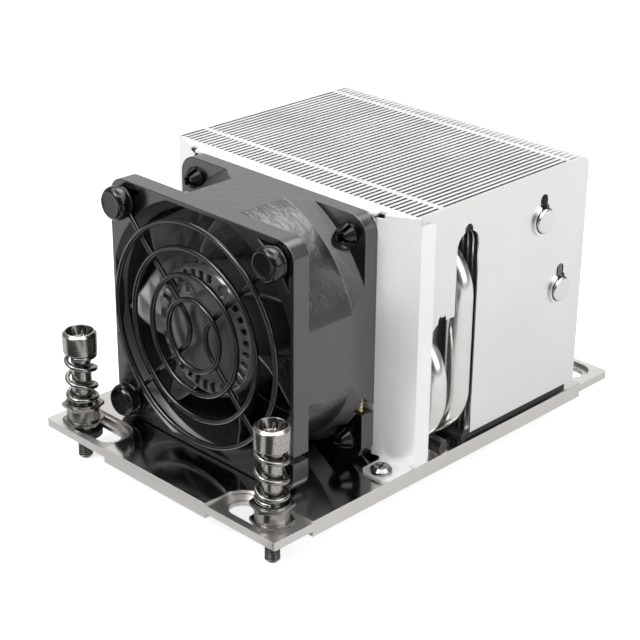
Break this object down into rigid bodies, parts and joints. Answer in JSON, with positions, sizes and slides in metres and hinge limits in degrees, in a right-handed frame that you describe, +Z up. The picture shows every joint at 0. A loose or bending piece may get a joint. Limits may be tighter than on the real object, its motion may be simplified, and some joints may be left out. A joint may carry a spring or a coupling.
{
  "type": "active cpu cooler",
  "caption": "Server processor cooler: fan with wire guard and sheet shroud blowing through folded fins on bent heat pipes, on a slotted base plate with captive spring screws.",
  "frame": {"origin": "middle of the base plate's contact face", "axes": "+Z up out of the plate, +Y the way the air runs (fan at -Y), +X to the right seen from the fan"},
  "size_m": [0.0804, 0.118, 0.0713],
  "materials": {
    "nickel_plate": "satin",
    "solder": "matte",
    "pipe_nickel": "satin",
    "fin_sheet": "satin",
    "shroud_sheet": "satin",
    "nickel_steel": "satin",
    "spring_steel": "gloss",
    "bearing_steel": "satin",
    "frame_plastic": "satin",
    "rotor_plastic": "satin",
    "rivet_plastic": "gloss",
    "guard_enamel": "gloss",
    "ring_rubber": "matte",
    "winding_copper": "gloss",
    "board": "satin",
    "lead_insulation": "satin",
    "magnet_rubber": "matte"
  },
  "bodies": {
    "cooler": {"base_plate": "nickel_plate", "pipe_saddle": "solder", "heat_pipe_tall_right": "pipe_nickel", "heat_pipe_short_right": "pipe_nickel", "heat_pipe_tall_left": "pipe_nickel", "heat_pipe_short_left": "pipe_nickel", "fins_middle": "fin_sheet", "fins_right": "fin_sheet", "fins_left": "fin_sheet", "end_fin_right": "fin_sheet", "end_fin_left": "fin_sheet", "shroud": "shroud_sheet", "shroud_foot_screws": "nickel_steel", "fan_frame": "frame_plastic", "fan_bearing_front": "bearing_steel", "fan_bearing_rear": "bearing_steel", "stator_core": "bearing_steel", "stator_coils": "winding_copper", "circuit_board": "board", "fan_lead": "lead_insulation", "finger_guard": "guard_enamel", "guard_rivets": "rivet_plastic", "fan_rivets": "rivet_plastic", "screw_bushes": "nickel_steel", "retaining_rings": "ring_rubber"},
    "fan_rotor": {"impeller": "rotor_plastic", "rotor_yoke": "bearing_steel", "magnet_ring": "magnet_rubber", "fan_shaft": "bearing_steel", "shaft_clip": "rivet_plastic"},
    "plunger_front_right": {"screw_clip_front_right": "spring_steel", "spring_front_right": "spring_steel"},
    "turning_screw_front_right": {"screw_front_right": "nickel_steel"},
    "plunger_front_left": {"screw_clip_front_left": "spring_steel", "spring_front_left": "spring_steel"},
    "turning_screw_front_left": {"screw_front_left": "nickel_steel"},
    "plunger_rear_right": {"screw_clip_rear_right": "spring_steel", "spring_rear_right": "spring_steel"},
    "turning_screw_rear_right": {"screw_rear_right": "nickel_steel"},
    "plunger_rear_left": {"screw_clip_rear_left": "spring_steel", "spring_rear_left": "spring_steel"},
    "turning_screw_rear_left": {"screw_rear_left": "nickel_steel"}
  },
  "joints": [
    {"name": "fan_spin", "type": "hinge", "parent": "cooler", "child": "fan_rotor", "pos_m": [0, -0.031, 0.0341], "axis": [0, 1, 0], "continuous": true},
    {"name": "press_front_right", "type": "slide", "parent": "cooler", "child": "plunger_front_right", "axis": [0, 0, 1], "range_m": [-0.005, 0], "stiffness_N_per_m": 11000, "springref_m": 0.001, "deforming": ["spring_front_right"]},
    {"name": "turn_front_right", "type": "hinge", "parent": "plunger_front_right", "child": "turning_screw_front_right", "pos_m": [0.0327, -0.053, 0.01], "axis": [0, 0, 1], "continuous": true},
    {"name": "press_front_left", "type": "slide", "parent": "cooler", "child": "plunger_front_left", "axis": [0, 0, 1], "range_m": [-0.005, 0], "stiffness_N_per_m": 11000, "springref_m": 0.001, "deforming": ["spring_front_left"]},
    {"name": "turn_front_left", "type": "hinge", "parent": "plunger_front_left", "child": "turning_screw_front_left", "pos_m": [-0.0327, -0.053, 0.01], "axis": [0, 0, 1], "continuous": true},
    {"name": "press_rear_right", "type": "slide", "parent": "cooler", "child": "plunger_rear_right", "axis": [0, 0, 1], "range_m": [-0.005, 0], "stiffness_N_per_m": 11000, "springref_m": 0.001, "deforming": ["spring_rear_right"]},
    {"name": "turn_rear_right", "type": "hinge", "parent": "plunger_rear_right", "child": "turning_screw_rear_right", "pos_m": [0.0231, 0.053, 0.01], "axis": [0, 0, 1], "continuous": true},
    {"name": "press_rear_left", "type": "slide", "parent": "cooler", "child": "plunger_rear_left", "axis": [0, 0, 1], "range_m": [-0.005, 0], "stiffness_N_per_m": 11000, "springref_m": 0.001, "deforming": ["spring_rear_left"]},
    {"name": "turn_rear_left", "type": "hinge", "parent": "plunger_rear_left", "child": "turning_screw_rear_left", "pos_m": [-0.0231, 0.053, 0.01], "axis": [0, 0, 1], "continuous": true}
  ]
}
